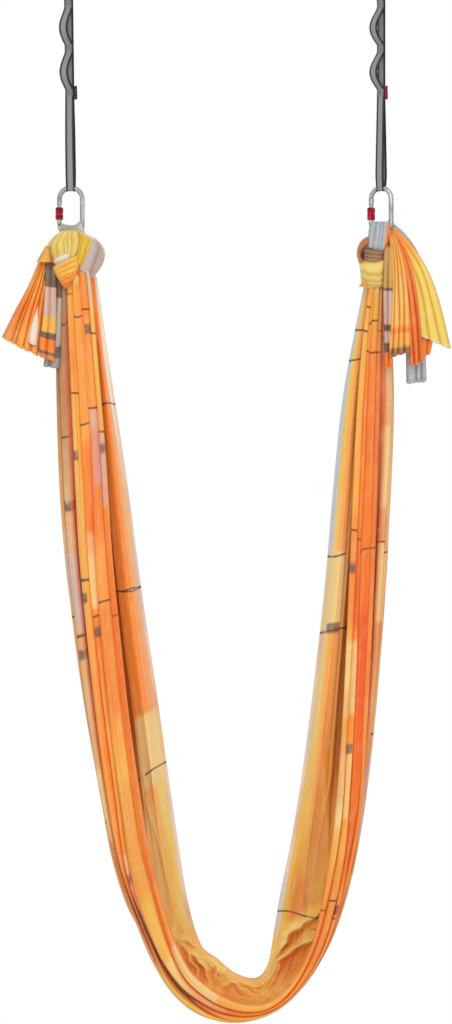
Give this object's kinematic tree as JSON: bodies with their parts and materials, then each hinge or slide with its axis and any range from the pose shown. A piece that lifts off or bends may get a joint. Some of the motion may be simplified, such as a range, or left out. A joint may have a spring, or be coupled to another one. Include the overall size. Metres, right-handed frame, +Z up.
{
  "type": "aerial yoga hammock",
  "caption": "Gathered fabric hammock knotted to screw-gate carabiners that hang in the end loops of daisy-chain straps.",
  "frame": {"origin": "midpoint of the line on which the two straps' top loops bear", "axes": "+Z up along the straps, +X from the left strap to the right one, +Y away from the viewer of the front"},
  "size_m": [0.9158, 0.201, 2.2973],
  "materials": {
    "steel": "bright zinc-plated steel",
    "pin_steel": "plain steel",
    "red_sleeve": "red anodised",
    "webbing": "woven polyester, black and grey",
    "thread": "bar-tack stitching",
    "tab_black": "folded tape",
    "tab_red": "folded tape",
    "orange_cloth": "printed nylon tricot with a soft sheen",
    "gold_cloth": "printed nylon tricot with a soft sheen",
    "pale_cloth": "printed nylon tricot with a soft sheen"
  },
  "bodies": {
    "straps": {"left_strap_webbing": "webbing", "left_strap_end_loop": "webbing", "left_bar_tack_1": "thread", "left_bar_tack_2": "thread", "left_bar_tack_3": "thread", "left_bar_tack_4": "thread", "left_strap_tab": "tab_black", "right_strap_webbing": "webbing", "right_strap_end_loop": "webbing", "right_bar_tack_1": "thread", "right_bar_tack_2": "thread", "right_bar_tack_3": "thread", "right_bar_tack_4": "thread", "right_strap_tab": "tab_red"},
    "hammock": {"hammock_cloth": "orange_cloth", "left_knot_lobe": "orange_cloth", "left_carabiner_body": "steel", "left_gate_rivet": "pin_steel", "left_carabiner_wrap": "pale_cloth", "left_knot": "gold_cloth", "left_tail": "gold_cloth", "right_carabiner_body": "steel", "right_gate_rivet": "pin_steel", "right_carabiner_wrap": "pale_cloth", "right_knot": "gold_cloth", "right_tail": "gold_cloth"},
    "left_gate": {"left_gate": "steel", "left_latch_pin": "pin_steel", "left_gate_spring": "pin_steel"},
    "left_sleeve": {"left_screw_sleeve": "red_sleeve"},
    "left_plunger": {"left_gate_plunger": "pin_steel"},
    "right_gate": {"right_gate": "steel", "right_latch_pin": "pin_steel", "right_gate_spring": "pin_steel"},
    "right_sleeve": {"right_screw_sleeve": "red_sleeve"},
    "right_plunger": {"right_gate_plunger": "pin_steel"}
  },
  "joints": [
    {"name": "hammock_swing", "type": "hinge", "parent": "straps", "child": "hammock", "pos_m": [0, 0, -0.58485], "axis": [1, 0, 0], "range_deg": [-20, 20]},
    {"name": "left_gate_hinge", "type": "hinge", "parent": "hammock", "child": "left_gate", "pos_m": [-0.3382, 0.00375, -0.6576], "axis": [0.1564, 0.9877, 0], "range_deg": [0, 24], "stiffness_Nm_per_rad": 0.36, "springref_deg": -24.06},
    {"name": "left_sleeve_slide", "type": "slide", "parent": "left_gate", "child": "left_sleeve", "axis": [0, 0, 1], "range_m": [0, 0.011]},
    {"name": "left_plunger_slide", "type": "slide", "parent": "left_gate", "child": "left_plunger", "axis": [0, 0, 1], "range_m": [0, 0.0014], "deforming": ["left_gate_spring"]},
    {"name": "right_gate_hinge", "type": "hinge", "parent": "hammock", "child": "right_gate", "pos_m": [0.30137, 0.01307, -0.6576], "axis": [0.5446, 0.8387, 0], "range_deg": [0, 24], "stiffness_Nm_per_rad": 0.36, "springref_deg": -24.06},
    {"name": "right_sleeve_slide", "type": "slide", "parent": "right_gate", "child": "right_sleeve", "axis": [0, 0, 1], "range_m": [0, 0.011]},
    {"name": "right_plunger_slide", "type": "slide", "parent": "right_gate", "child": "right_plunger", "axis": [0, 0, 1], "range_m": [0, 0.0014], "deforming": ["right_gate_spring"]}
  ],
  "couplings": [
    {"joint": "left_plunger_slide", "follows": "left_gate_hinge", "m_per_rad": 0.0028648},
    {"joint": "right_plunger_slide", "follows": "right_gate_hinge", "m_per_rad": 0.0028648}
  ]
}
